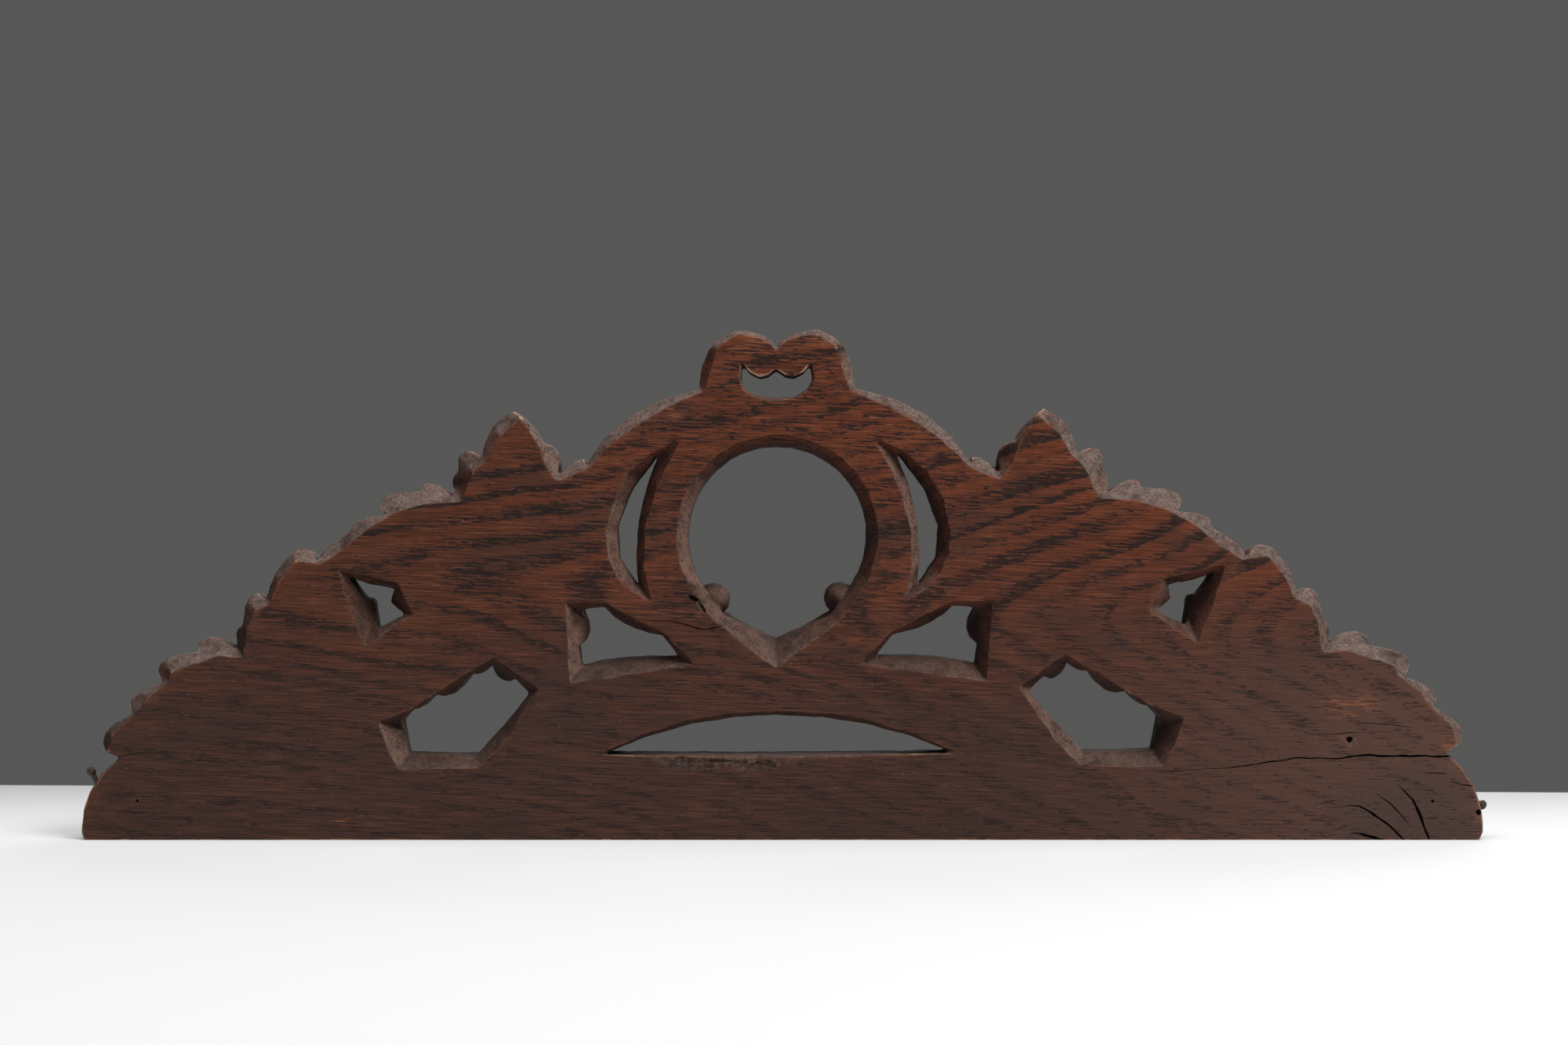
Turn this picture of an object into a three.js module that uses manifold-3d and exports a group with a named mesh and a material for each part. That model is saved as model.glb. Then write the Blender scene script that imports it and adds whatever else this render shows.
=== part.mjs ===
// Carved oak pediment: one board, pierced and carved with leaves, flat on the back.
// Millimetres, +Z up. The flat back faces -Y and the carved front +Y.
// The origin is the middle of the underside.
import * as THREE from "three";
import { mergeVertices } from "three/addons/utils/BufferGeometryUtils.js";
import { ConvexGeometry } from "three/addons/geometries/ConvexGeometry.js";
import Module from "manifold-3d";

const wasm = await Module();
wasm.setup();

// Driving dimensions
const BACK_Y = -21; // flat back
const GROUND_Y = 10; // front face between the raised leaves
const BEVEL_SLOPE = 1.25; // depth of the back bevel for each millimetre of its width
const BEVEL_REACH = 24; // wider than the bevel is anywhere
const OVERLAP = 0.3; // how far forms that are joined or cut run into each other
const SHARP_CORNER = THREE.MathUtils.degToRad(25); // a fan at a sharper corner has two faces
const FAN_OVERLAP = THREE.MathUtils.degToRad(2); // how far a fan turns into the wedges beside it
const CURVE_STEPS = 4; // straight steps in each curve of an outline

// Both halves follow one pattern. The right half came out longer than the left, and rises to the right.
const CENTRE_X = -3.5;
const STRETCH = 0.012; // share by which the right half is longer and the left half shorter
const RISE = 0.005; // millimetres up for each millimetre to the right
const RISE_FULL_Z = 60; // the rise starts from nothing at the level underside and is full from here up
const LEFT_END = { from: 400, full: 440, out: 2.7 }; // the tip of the left half runs out this much farther

// A row of an outline is [x, z], a straight cut to that point,
// or [x, z, viaX, viaZ], a curve to it through the via point.
// x is measured outwards from the middle of the board.

// Front outline, from the notch at the top down to the underside
const CREST = [
  [0, 314],
  [26.5, 326, 8, 322],
  [50, 288, 44, 313],
  [123, 239.5, 95, 271],
];
// The leaves: the rib that each one grows along, from root to tip, the lobes that make the outline,
// and the share of the rib where each lobe springs from it
const LEAVES = [
  {
    rib: [[171, 152], [170, 262]],
    lobes: [
      [141.5, 233, 128, 244],
      [152, 254.5, 142, 248],
      [169.5, 274.5, 159.5, 266],
      [190.5, 246, 183.5, 265.5],
      [207, 236, 205, 249],
      [208, 219.5, 211, 230],
    ],
    springs: [0.25, 0.42, 0.58, 0.58, 0.42, 0.25],
  },
  {
    rib: [[188, 150], [291, 178]],
    lobes: [
      [231.5, 223.5, 226, 229],
      [253, 208, 256, 220],
      [276, 198, 272, 205.5],
      [297.5, 179, 289.5, 189.5],
    ],
    springs: [0.12, 0.28, 0.44, 0.6],
  },
  {
    rib: [[291, 96], [318, 172]],
    lobes: [
      [314, 185, 304.5, 186],
      [330, 154, 324.5, 171.5],
      [346, 138, 342, 157.5],
      [349, 123, 350.5, 134],
    ],
    springs: [0.45, 0.5, 0.35, 0.15],
  },
  {
    rib: [[318, 84], [428, 62]],
    lobes: [
      [376.5, 121.5, 370.5, 130.5],
      [397, 102, 401, 114.5],
      [415, 83, 417, 92],
      [430.5, 57.5, 433, 69],
    ],
    springs: [0.12, 0.3, 0.45, 0.6],
  },
];
// Root and tip of the lobes that show in the openings
const INNER_LOBES = [
  [[163, 146], [127, 135]],
  [[151, 122], [130, 116]],
  [[177, 146], [175, 103]],
  [[196, 146], [191, 109]],
  [[220, 139], [209, 96]],
  [[246, 124], [229, 89]],
  [[214, 157], [249, 152]],
  [[299, 122], [266, 151]],
  [[286, 100], [262, 139]],
  [[288, 96], [244, 70]],
];
const END = [
  [422.5, 54.5],
  [446, 5, 440.5, 32.5],
  [444, 0],
];

// Edge of the flat back, inside the front outline by the width of the bevel
const BACK_EDGE = [
  [0, 311.5],
  [26, 322.5, 10, 320],
  [38, 314],
  [41.5, 302],
  [47, 286.5],
  [121, 237.5, 92, 264],
  [141.5, 229],
  [149, 239],
  [154, 253],
  [165, 270],
  [177.5, 259],
  [186.5, 244.5],
  [195.5, 235.5],
  [200, 223],
  [203.5, 217],
  [226, 215.5],
  [246, 210],
  [262.5, 201],
  [280, 186],
  [294, 177.5],
  [310, 179.5],
  [321, 166],
  [326.5, 152.5],
  [336, 148],
  [341, 137],
  [344, 118],
  [360, 119],
  [390, 109],
  [392, 103],
  [406, 92],
  [411.5, 84],
  [427, 69],
  [429, 58.5],
  [421.5, 54],
  [445, 5.5, 440, 31],
  [443.5, 0],
];

// Openings on the middle line, from the top to the bottom of their right half
const RING = { front: 57.5, back: 64.5, z: 194 };
const RING_TANGENT = THREE.MathUtils.degToRad(-36); // where the round runs into the point below it
const RING_STEPS = 12; // straight steps in each half of the round
const MIDDLE_OPENINGS = [
  { front: teardrop(RING.front, [33.5, 142.5], [0, 128]), back: teardrop(RING.back, [39, 139], [0, 109]) },
  {
    front: [[0, 300.5], [22, 304, 11, 295.5], [0, 282, 19.5, 287]],
    back: [[0, 301], [23, 305.5, 11.5, 296], [0, 280.5, 20.5, 286]],
  },
  {
    front: [[0, 79.5], [112, 55, 57, 73.5], [0, 54]],
    back: [[0, 82.5], [117, 54.5, 59, 76], [0, 52.5]],
  },
];

// Openings that each half has
const SIDE_OPENINGS = [
  // crescent beside the ring
  {
    front: [[75, 249.5], [89, 161, 103.5, 200], [75, 249.5, 89, 204]],
    back: [[61, 257], [110, 196, 96, 234], [80, 151, 104, 170], [61, 257, 84.5, 200]],
  },
  // four-sided opening under the ring
  {
    front: [
      [126, 147.5],
      [128.5, 123.5, 121.5, 133.5],
      [126.5, 111],
      [62.5, 116.5, 99, 116],
      [73.5, 130.5],
      [82.5, 132.5],
      [111.5, 149, 98, 138],
    ],
    back: [[136.5, 152.5], [133, 100.5], [52, 112], [72, 132], [110, 151.5]],
  },
  // five-sided opening with scalloped leaf edges above it
  {
    front: [
      [239, 55.5],
      [194.5, 54.5],
      [160, 93.5, 175.5, 75],
      [169, 103.5],
      [174, 101],
      [184.5, 113.5, 181, 105],
      [197.5, 107, 190, 107.5],
      [221, 94, 209, 94],
      [235.5, 84.5, 229, 86],
      [243, 76.5],
    ],
    back: [
      [243.5, 45.5],
      [192, 46.5],
      [173.5, 66],
      [153, 97],
      [182.5, 118],
      [235, 85.5],
      [257.5, 76.5],
      [250.5, 57],
    ],
  },
  // star between the second and the third leaf
  {
    front: [
      [278, 171],
      [267, 155, 273.5, 163.5],
      [261, 146.5, 262.5, 154],
      [259.5, 135.5],
      [240.5, 144.5],
      [250.5, 152.5],
      [247.5, 162],
      [251, 163.5],
      [278, 171, 263, 164],
    ],
    back: [[283.5, 174.5], [275.5, 148.5], [265.5, 124.5], [234, 145], [239.5, 154.5], [244.5, 165.5]],
  },
];

// Raised forms of the front: half-round rolls and rounded bosses
const SCROLL_EYE = { x: 40.5, z: 153.5, r: 10.6, y: 2, depth: 1.4 };
const ROLLS = [
  { r: 11, rows: [[-2, 267.5], [73.5, 194, 52, 246], [57, 148, 71, 169], [-2, 112]] },
  { r: 8, rows: [[-2, 271], [96, 250, 58, 269], [112.5, 205, 109, 228], [106, 163, 112, 182]] },
  { r: 6.5, rows: [[3, 309], [35.5, 302, 26, 317], [41, 283, 41, 293]] },
  { r: 6.5, rows: [[-2, 91], [126, 59, 62, 83]] },
  {
    r: 6.5,
    rows: [
      [12, 106],
      [104, 93, 58, 98],
      [164, 147, 146, 113],
      [236, 131, 200, 145],
      [302, 88, 270, 106],
      [425, 60, 362, 71],
    ],
  },
];
const BASE_FILLET = { halfLength: 434, height: 13, rise: 7 };
const ROLL_STEP = 13; // length of one straight step of a roll
const ROLL_LEAST_STEPS = 9; // a short roll has at least these
const ROLL_QUARTERS = 4; // half the number of its sides
const LEAF_RISE = 10.5; // height of a lobe above the ground
const RIB_RISE = 8;
const RIB_HALF_WIDTH = 7;
const LOBE_SHARE = 0.62; // half width of a lobe as a share of the gap between its notches
const LOBE_HALF_WIDTHS = [7.5, 12]; // least and most
const LOBE_INSET = 2.5; // how far a lobe's crown stops short of the edge

// Nails left in the two ends, at the points where their shanks leave the wood
const NAIL = { r: 1.8, headR: 3.2, headDepth: 5.4, buried: 14, sides: 10, y: -8 };
const NAIL_HOLE_GAP = 0.35;
const NAILS = [
  { name: "nail_left", x: -440.2, z: 36.6, towards: [-0.45, 0.893], stands: 10 },
  { name: "nail_right", x: 446.2, z: 23, towards: [0.88, -0.47], stands: 7 },
];

const OAK = new THREE.MeshStandardMaterial({ name: "oak", color: 0x4a2618, roughness: 0.6, metalness: 0 });
const IRON = new THREE.MeshStandardMaterial({ name: "iron", color: 0x3a2f2a, roughness: 0.7, metalness: 1 });

// Half of an opening that is round above and runs to a point below
function teardrop(radius, shoulder, point) {
  const rows = [];
  for (let i = 0; i <= RING_STEPS; i++) {
    const angle = THREE.MathUtils.lerp(Math.PI / 2, RING_TANGENT, i / RING_STEPS);
    rows.push([radius * Math.cos(angle), RING.z + radius * Math.sin(angle)]);
  }
  return [...rows, shoulder, point];
}

// Points of an outline, with its curves in straight steps
function pointsOf(rows) {
  let last = new THREE.Vector2(...rows[0]);
  const points = [last];
  for (const [x, z, viaX, viaZ] of rows.slice(1)) {
    const end = new THREE.Vector2(x, z);
    if (viaX === undefined) {
      points.push(end);
    } else {
      const control = new THREE.Vector2(2 * viaX - (last.x + x) / 2, 2 * viaZ - (last.y + z) / 2);
      points.push(...new THREE.QuadraticBezierCurve(last, control, end).getPoints(CURVE_STEPS).slice(1));
    }
    last = end;
  }
  return points;
}

// A point of the pattern on the right half (side 1) or the left half (side -1)
function placed(point, side) {
  const rise = side * point.x * RISE * Math.min(1, point.y / RISE_FULL_Z);
  const out = side < 0 ? LEFT_END.out * THREE.MathUtils.smoothstep(point.x, LEFT_END.from, LEFT_END.full) : 0;
  return new THREE.Vector2(CENTRE_X + side * (point.x * (1 + side * STRETCH) + out), point.y + rise);
}

// Closed outline of a form that both halves share, from the rows of one half, top to bottom, anticlockwise
function acrossMiddle(rows) {
  const half = pointsOf(rows);
  const left = half.map((p) => placed(p, -1));
  const right = half.map((p) => placed(p, 1)).reverse();
  return distinct([...left, ...right]);
}

// Closed outline of a form that lies in one half
function inHalf(rows, side) {
  const points = pointsOf(rows).map((p) => placed(p, side));
  return distinct(side > 0 ? points : points.reverse());
}

// The same closed outline without points that repeat their neighbour
function distinct(points) {
  return points.filter((p, i) => p.distanceTo(points[(i + 1) % points.length]) > 0.01);
}

function outlinesOf(face, edgeRows) {
  const holes = MIDDLE_OPENINGS.map((opening) => acrossMiddle(opening[face]));
  for (const side of [1, -1]) {
    holes.push(...SIDE_OPENINGS.map((opening) => inHalf(opening[face], side)));
  }
  return { edge: acrossMiddle(edgeRows), holes };
}

// Closed geometry as a solid that can be joined and cut
function solid(geometry) {
  const bare = geometry.index ? geometry : mergeVertices(geometry);
  bare.deleteAttribute("normal");
  bare.deleteAttribute("uv");
  const merged = mergeVertices(bare, 1e-3);
  const vertProperties = new Float32Array(merged.attributes.position.array);
  const triVerts = new Uint32Array(merged.index.array);
  return new wasm.Manifold(new wasm.Mesh({ numProp: 3, vertProperties, triVerts }));
}

function joined(solids) {
  return solids.reduce((all, one) => all.add(one));
}

// The body itself, without the crumbs that cuts along shared edges leave, which have no volume
function largestBody(made) {
  return made.decompose().reduce((largest, one) => (one.volume() > largest.volume() ? one : largest));
}

function geometryOf(made) {
  const { numProp, vertProperties, triVerts } = made.getMesh();
  const positions = [];
  for (let i = 0; i < vertProperties.length; i += numProp) {
    positions.push(...vertProperties.subarray(i, i + 3));
  }
  const geometry = new THREE.BufferGeometry();
  geometry.setAttribute("position", new THREE.Float32BufferAttribute(positions, 3));
  geometry.setIndex(new THREE.BufferAttribute(triVerts, 1));
  geometry.computeVertexNormals();
  return geometry;
}

// Straight-walled board with this outline
function slab({ edge, holes }, lowY, highY) {
  const shape = new THREE.Shape(edge);
  shape.holes = holes.map((hole) => new THREE.Path(hole));
  const geometry = new THREE.ExtrudeGeometry(shape, { depth: highY - lowY, bevelEnabled: false });
  return solid(geometry.rotateX(Math.PI / 2).translate(0, highY, 0));
}

// Convex wedge that fills the bevel outwards from some points of the back edge, along some directions
function bevelWedge(points, directions) {
  const corners = [];
  const addCorners = (p, lowY) => {
    corners.push(new THREE.Vector3(p.x, lowY, p.y), new THREE.Vector3(p.x, GROUND_Y + OVERLAP, p.y));
  };
  for (const p of points) {
    addCorners(p, BACK_Y);
    for (const d of directions) {
      addCorners(p.clone().addScaledVector(d, -OVERLAP), BACK_Y);
      addCorners(p.clone().addScaledVector(d, BEVEL_REACH), BACK_Y + BEVEL_REACH * BEVEL_SLOPE);
    }
  }
  return solid(new ConvexGeometry(corners));
}

// Wedges along every straight stretch of a closed outline, and fans round its outward corners
function bevelsAlong(outline, isHole) {
  const loop = THREE.ShapeUtils.isClockWise(outline) === isHole ? outline : [...outline].reverse();
  const normals = loop.map((p, i) => {
    const along = loop[(i + 1) % loop.length].clone().sub(p).normalize();
    return new THREE.Vector2(along.y, -along.x);
  });
  const wedges = [];
  loop.forEach((p, i) => {
    const before = normals[(i + loop.length - 1) % loop.length];
    const after = normals[i];
    wedges.push(bevelWedge([p, loop[(i + 1) % loop.length]], [after]));
    if (before.cross(after) > 0) {
      const from = before.clone().rotateAround(new THREE.Vector2(), -FAN_OVERLAP);
      const to = after.clone().rotateAround(new THREE.Vector2(), FAN_OVERLAP);
      const middle = before.clone().add(after).normalize();
      const isSharp = before.angleTo(after) > SHARP_CORNER;
      wedges.push(bevelWedge([p], isSharp ? [from, middle, to] : [from, to]));
    }
  });
  return wedges;
}

// Rounded boss that stands on the ground of the front, long from one point to another
function boss(from, to, halfWidth, rise) {
  const along = to.clone().sub(from);
  const geometry = new THREE.SphereGeometry(1, 9, 4);
  geometry.scale(along.length() / 2, rise, halfWidth);
  geometry.rotateY(-along.angle());
  geometry.translate((from.x + to.x) / 2, GROUND_Y, (from.y + to.y) / 2);
  return solid(geometry);
}

// Half-round roll along rows of the pattern, in one half
function roll({ r, rows }, side) {
  const line = pointsOf(rows).map((p) => placed(p, side));
  const path = new THREE.CatmullRomCurve3(line.map((p) => new THREE.Vector3(p.x, GROUND_Y, p.y)));
  const section = new THREE.Shape();
  section.absarc(0, 0, r, 0, 2 * Math.PI);
  const steps = Math.max(ROLL_LEAST_STEPS, Math.round(path.getLength() / ROLL_STEP));
  const sweep = { steps, extrudePath: path, curveSegments: ROLL_QUARTERS, bevelEnabled: false };
  return solid(new THREE.ExtrudeGeometry(section, sweep));
}

// One lobe of a leaf, from where it springs to just inside the edge
function lobe(root, edge, halfWidth, side) {
  const crown = edge.clone().lerp(root, LOBE_INSET / root.distanceTo(edge));
  return boss(placed(root, side), placed(crown, side), halfWidth, LEAF_RISE);
}

// A leaf's rib and its outer lobes, the first of which starts from a notch of the outline
function leaf({ rib, lobes, springs }, start, side) {
  const [root, tip] = rib.map((p) => new THREE.Vector2(...p));
  const forms = [boss(placed(root, side), placed(tip, side), RIB_HALF_WIDTH, RIB_RISE)];
  let notch = new THREE.Vector2(...start);
  lobes.forEach(([x, z, viaX, viaZ], i) => {
    const nextNotch = new THREE.Vector2(x, z);
    const halfWidth = THREE.MathUtils.clamp(LOBE_SHARE * notch.distanceTo(nextNotch), ...LOBE_HALF_WIDTHS);
    forms.push(lobe(root.clone().lerp(tip, springs[i]), new THREE.Vector2(viaX, viaZ), halfWidth, side));
    notch = nextNotch;
  });
  return forms;
}

function innerLobe([root, tip], side) {
  return lobe(new THREE.Vector2(...root), new THREE.Vector2(...tip), LOBE_HALF_WIDTHS[0], side);
}

// Eye of the scroll that the ring ends in, which shows inside the opening
function scrollEye(side) {
  const { x, z, r, y, depth } = SCROLL_EYE;
  const at = placed(new THREE.Vector2(x, z), side);
  return solid(new THREE.SphereGeometry(r, 12, 8).scale(1, depth, 1).translate(at.x, y, at.y));
}

function baseFillet() {
  const { halfLength, height, rise } = BASE_FILLET;
  const geometry = new THREE.BoxGeometry(2 * halfLength, 2 * rise, height);
  return solid(geometry.translate(CENTRE_X, GROUND_Y, height / 2));
}

// Turned shape along a nail's axis, from radius and distance pairs, outwards from the wood
function turnedOnNail({ x, z, towards }, profile) {
  const points = profile.map((p) => new THREE.Vector2(...p));
  const geometry = new THREE.LatheGeometry(points, NAIL.sides);
  const axis = new THREE.Vector3(towards[0], 0, towards[1]).normalize();
  const turn = new THREE.Quaternion().setFromUnitVectors(new THREE.Vector3(0, 1, 0), axis);
  return geometry.applyQuaternion(turn).translate(x, NAIL.y, z);
}

function nailGeometry(nail) {
  const { r, headR, headDepth, buried } = NAIL;
  const neck = nail.stands - headDepth;
  return turnedOnNail(nail, [
    [0, -buried],
    [r, -buried + 4 * r],
    [r, neck],
    [headR * 0.8, neck + headDepth * 0.1],
    [headR, neck + headDepth * 0.45],
    [headR * 0.75, neck + headDepth * 0.82],
    [0, nail.stands],
  ]);
}

function nailHole(nail) {
  const r = NAIL.r + NAIL_HOLE_GAP;
  const bottom = -NAIL.buried - 2 * NAIL_HOLE_GAP;
  return solid(turnedOnNail(nail, [[0, bottom], [r, bottom], [r, nail.stands], [0, nail.stands]]));
}

function pedimentGeometry() {
  const frontRows = [...CREST, ...LEAVES.flatMap((one) => one.lobes), ...END];
  const back = outlinesOf("back", BACK_EDGE);
  const bevelled = joined([
    slab(back, BACK_Y, GROUND_Y + OVERLAP),
    ...bevelsAlong(back.edge, false),
    ...back.holes.flatMap((hole) => bevelsAlong(hole, true)),
  ]);
  const board = slab(outlinesOf("front", frontRows), BACK_Y - OVERLAP, GROUND_Y).intersect(bevelled);
  const forms = [baseFillet()];
  for (const side of [1, -1]) {
    forms.push(scrollEye(side), ...ROLLS.map((one) => roll(one, side)));
    forms.push(...INNER_LOBES.map((one) => innerLobe(one, side)));
    let start = CREST.at(-1);
    for (const one of LEAVES) {
      forms.push(...leaf(one, start, side));
      start = one.lobes.at(-1);
    }
  }
  return geometryOf(largestBody(joined([board, ...forms]).subtract(joined(NAILS.map(nailHole)))));
}

function named(name, geometry, material) {
  const mesh = new THREE.Mesh(geometry, material);
  mesh.name = name;
  return mesh;
}

const pediment = new THREE.Group();
pediment.name = "carved_pediment";
pediment.add(named("pediment_board", pedimentGeometry(), OAK));
for (const nail of NAILS) {
  pediment.add(named(nail.name, nailGeometry(nail), IRON));
}

export default pediment;
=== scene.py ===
"""Looks of the carved oak pediment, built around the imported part.

The frame is the part's own, in metres: +Z up, and the flat back towards -Y, where the camera stands.
"""
import math
from functools import partial, reduce

import bmesh
import bpy
import numpy as np
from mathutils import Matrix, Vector
from mathutils.bvhtree import BVHTree
from mathutils.kdtree import KDTree


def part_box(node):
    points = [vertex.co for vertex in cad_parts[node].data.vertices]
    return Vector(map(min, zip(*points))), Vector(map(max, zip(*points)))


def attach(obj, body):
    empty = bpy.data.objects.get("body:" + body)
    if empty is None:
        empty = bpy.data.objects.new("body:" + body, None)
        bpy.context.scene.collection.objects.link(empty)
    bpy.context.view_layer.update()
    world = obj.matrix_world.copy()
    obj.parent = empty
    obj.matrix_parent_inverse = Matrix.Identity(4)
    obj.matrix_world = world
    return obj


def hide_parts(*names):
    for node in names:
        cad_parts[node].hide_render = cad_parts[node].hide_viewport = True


MM = 0.001

# Camera: level, straight in front of the flat back, as the photograph was taken
CAMERA_X = 1.5 * MM
CAMERA_Z = 202.5 * MM
CAMERA_DISTANCE = 1.8  # from the flat back
PHOTO_WIDTH = 2000  # pixels
FOCAL_PIXELS = 3600
SENSOR_WIDTH = 36.0  # millimetres of film

# Floor and background
FLOOR_REACH = 2.6  # to each side and towards the camera
FLOOR_BEHIND = 0.325  # its far edge, behind the board's middle
FLOOR_SKEW = 0.05  # how much nearer that edge comes for each metre to the right
FLOOR_COLOUR = (0.76, 0.76, 0.76, 1.0)
# painted shade on the floor towards its far edge
FLOOR_FAR_SHADE = (0.4, 0.4, 0.4, 1.0)
BACKGROUND = (0.095, 0.097, 0.094, 1.0)

# The board's mesh
VOXEL = 0.8 * MM
SOFTENING_ROUNDS = 2  # passes that take the saw-teeth off the voxel mesh and round its arrises
WEAR_ROUNDS = 16  # passes that measure how far an edge stands out from what is around it
MOST_TRIANGLES = 176000
SHARP_EDGE = math.radians(38)  # a sharper edge isn't shaded smooth
SKY_RAYS = [(0, 0, 1), (0.6, 0, 1), (-0.6, 0, 1), (0, -0.6, 1), (0, 0.6, 1)]  # directions dust falls from
SKY_REACH = 140 * MM
NEAR_RAYS = [(1, 0, 0), (-1, 0, 0), (0, 1, 0), (0, -1, 0), (0, 0, 1), (0, 0, -1)]  # for what is close by
NEAR_LEAN = 1.2  # how far these turn to the surface's own direction
NEAR_REACH = 9 * MM
RAY_START = 0.6 * MM  # a ray starts this far off the surface

# Relief of the surfaces, all along the normal
TOOL_FACET = 7.0 * MM  # width of one cut of the chisel on the bevels and in the openings
TOOL_DEPTH = 0.45 * MM
FACE_WAVE = 38.0 * MM  # long waves that the plane left on the flat back
FACE_WAVE_DEPTH = 0.14 * MM
NICK_SPACING = 9.0 * MM  # bruises along the arrises
NICK_DEPTH = 1.3 * MM

# Damage on the flat back, in millimetres of x and z
NAIL_HOLE = (362.4, 64.1)
NAIL_HOLE_RADIUS = 2.0
NAIL_HOLE_DISH = 5.6
NAIL_HOLE_DISH_DEPTH = 1.1
PIN_HOLES = [(415.2, 24.8), (-411.0, 25.0)]
PIN_HOLE_RADIUS = 1.0
HOLE_DEPTH = 9.0
PLUG = (-372.5, 54.5)  # old hole, filled flush
PLUG_RADIUS = 4.4
# Cracks: points from end to end as (x, z, width), and the depth in the middle
CRACKS = [
    ([(446, 52.8, 1.8), (422, 53.2, 1.6), (368, 54, 1.3), (358, 52.3, 1.1), (340, 52, 0.8), (331, 52.6, 1.0),
      (310, 49.5, 0.8), (289, 46.5, 0.6), (241, 43, 0.3)], 13.0),
    ([(393, 35.2, 0.3), (402.5, 25.7, 1.6), (407, 16.5, 2.0), (410.5, 6.5, 1.3), (414.5, -3, 1.8)], 9.0),
    ([(379, 29.6, 0.5), (387.4, 24, 1.0), (394.5, 17.1, 0.9), (401.3, 8.5, 0.2)], 4.0),
    ([(355, 20.7, 0.2), (362.4, 22, 0.8), (368.4, 21.4, 1.3), (377.5, 16.5, 1.8), (387.4, 9.2, 1.5),
      (400, -3, 1.4)], 8.0),
    ([(363, 4.5, 0.4), (368.4, 4, 1.3), (377.5, 1.6, 2.5), (390, -3, 2.5)], 6.0),
    ([(331.5, 66.8, 0.3), (357.8, 68, 0.6), (374.3, 68.5, 0.2)], 3.0),
    ([(364.4, 74.3, 0.3), (377.5, 74.3, 0.6), (394, 73, 0.5), (405.9, 71.5, 0.2)], 3.0),
    ([(425, 37.2, 0.3), (434, 35.5, 0.7), (446, 34, 0.8)], 4.0),
    ([(406.5, 43.5, 0.2), (417, 42.5, 0.5), (427, 42.1, 0.2)], 3.0),
    ([(344, 23.5, 0.2), (349, 24.5, 0.5), (354.5, 25.5, 0.2)], 3.0),
    ([(350.5, 6.2, 0.2), (357, 8, 0.5), (363, 10, 0.2)], 3.0),
    ([(-98, 140.5, 0.2), (-68.5, 139.2, 0.6), (-53.8, 135, 0.8), (-48, 134.6, 0.8), (-39, 136, 0.8),
      (-30, 141, 0.9)], 9.0),
    ([(-432, 52.5, 0.9), (-422, 53.2, 0.7), (-411, 55.5, 0.5), (-391, 56.3, 0.2)], 5.0),
]
CRACK_STEP = 2.2  # millimetres between two bends of a crack
CRACK_WANDER = 0.35
# Splinters missing from an arris: middle, half sizes in x and z, depth, slant in degrees
GOUGES = [
    {"at": (-10.0, 47.6), "half": (7.5, 3.4), "depth": 1.9, "slant": -8},
    {"at": (-26.0, 49.5), "half": (4.0, 1.9), "depth": 1.5, "slant": 5},
    {"at": (-42.0, 50.2), "half": (13.0, 1.3), "depth": 1.1, "slant": 0},
    {"at": (-62.5, 50.4), "half": (5.0, 3.0), "depth": 1.7, "slant": -4},
    {"at": (-56.0, 154.2), "half": (3.6, 1.6), "depth": 4.5, "slant": -20},
    {"at": (-51.0, 149.0), "half": (5.2, 1.2), "depth": 2.2, "slant": -58},
    {"at": (444.5, 17.5), "half": (1.6, 2.0), "depth": 4.0, "slant": 0},
]
GOUGE_ROUGHNESS = 0.28

# Growth rings: cones round a line in front of the flat back, so that their cuts on it are nested arches
PITH_Y = -52.0  # millimetres
PITH_Z = 152.0
PITH_FALL = 0.06  # fall of the line to the right
RING_TAPER = 0.25
RING_TAPER_GAIN = 0.00024  # the cones are steeper on the right
RING_WIDTH = 12.5
PORE_SPACING = 1.3  # across the grain
PORE_STRETCH = 19.0  # how many times longer the dashes are
# Patches on the flat back where the stain is rubbed off
WORN_PATCHES = [
    {"at": (363.0, 86.0), "half": (17.0, 8.0)},
    {"at": (429.0, 63.0), "half": (7.0, 8.0)},
    {"at": (446.0, 12.0), "half": (5.0, 17.0)},
    {"at": (-272.0, 12.0), "half": (16.0, 3.0)},
    {"at": (-421.0, 88.0), "half": (12.0, 5.0)},
    {"at": (21.0, 320.0), "half": (12.0, 6.0)},
    {"at": (-26.0, 318.0), "half": (14.0, 5.0)},
    {"at": (-82.0, 272.0), "half": (18.0, 7.0)},
    {"at": (-104.0, 257.0), "half": (11.0, 9.0)},
]
KNOT = {"at": (403.0, 12.0), "half": (52.0, 34.0)}
# Wood round the ring, where the pores hardly stand in bands
EVEN_GRAIN = {"at": (-10.0, 245.0), "half": (135.0, 92.0)}
# Patches on the flat back that are grey with dust: below the slot, round the nail hole, at the ring's chip
DUSTY_PATCHES = [
    {"at": (-36.0, 50.0), "half": (44.0, 5.5)},
    {"at": NAIL_HOLE, "half": (6.0, 5.0)},
    {"at": (-52.0, 149.5), "half": (3.5, 6.0)},
]
DARK_CUT = {"at": (-271.0, 150.0), "half": (15.0, 26.0)}  # wall of the left star, kept darker, with less dust and painted light
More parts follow.
